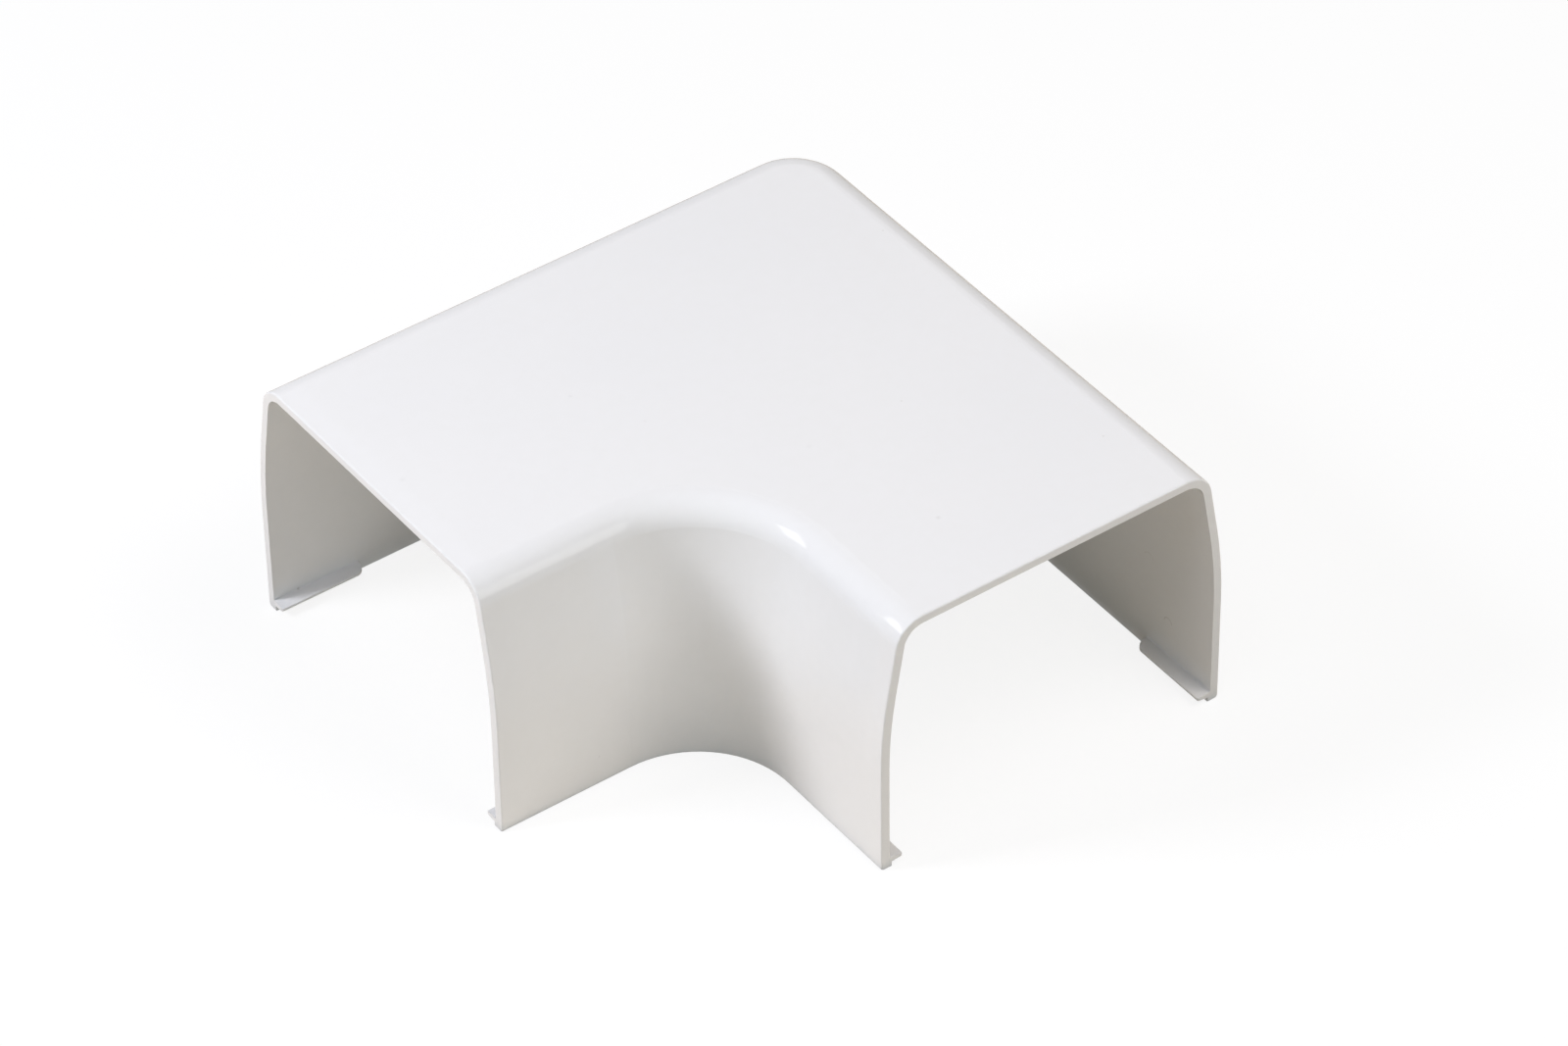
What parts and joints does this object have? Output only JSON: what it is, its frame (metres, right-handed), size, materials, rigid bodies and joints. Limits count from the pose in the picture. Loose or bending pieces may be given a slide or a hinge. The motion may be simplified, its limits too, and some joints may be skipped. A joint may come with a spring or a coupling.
{
  "type": "trunking flat angle",
  "caption": "Cover that clips over a right-angle turn of cable trunking on a flat wall: an L-shaped channel with flared sides, rounded corners and small lips inside its ends.",
  "frame": {"origin": "middle of the bounding square of the foot, on the plane of the wall that the cover is fixed to", "axes": "+Z away from that wall, towards the flat top; +X and +Y along the two legs, towards their open ends"},
  "size_m": [0.129, 0.129, 0.0582],
  "materials": {
    "white_moulding": "smooth glossy white moulding"
  },
  "bodies": {
    "root": {"flat_angle_cover": "white_moulding"}
  },
  "joints": []
}
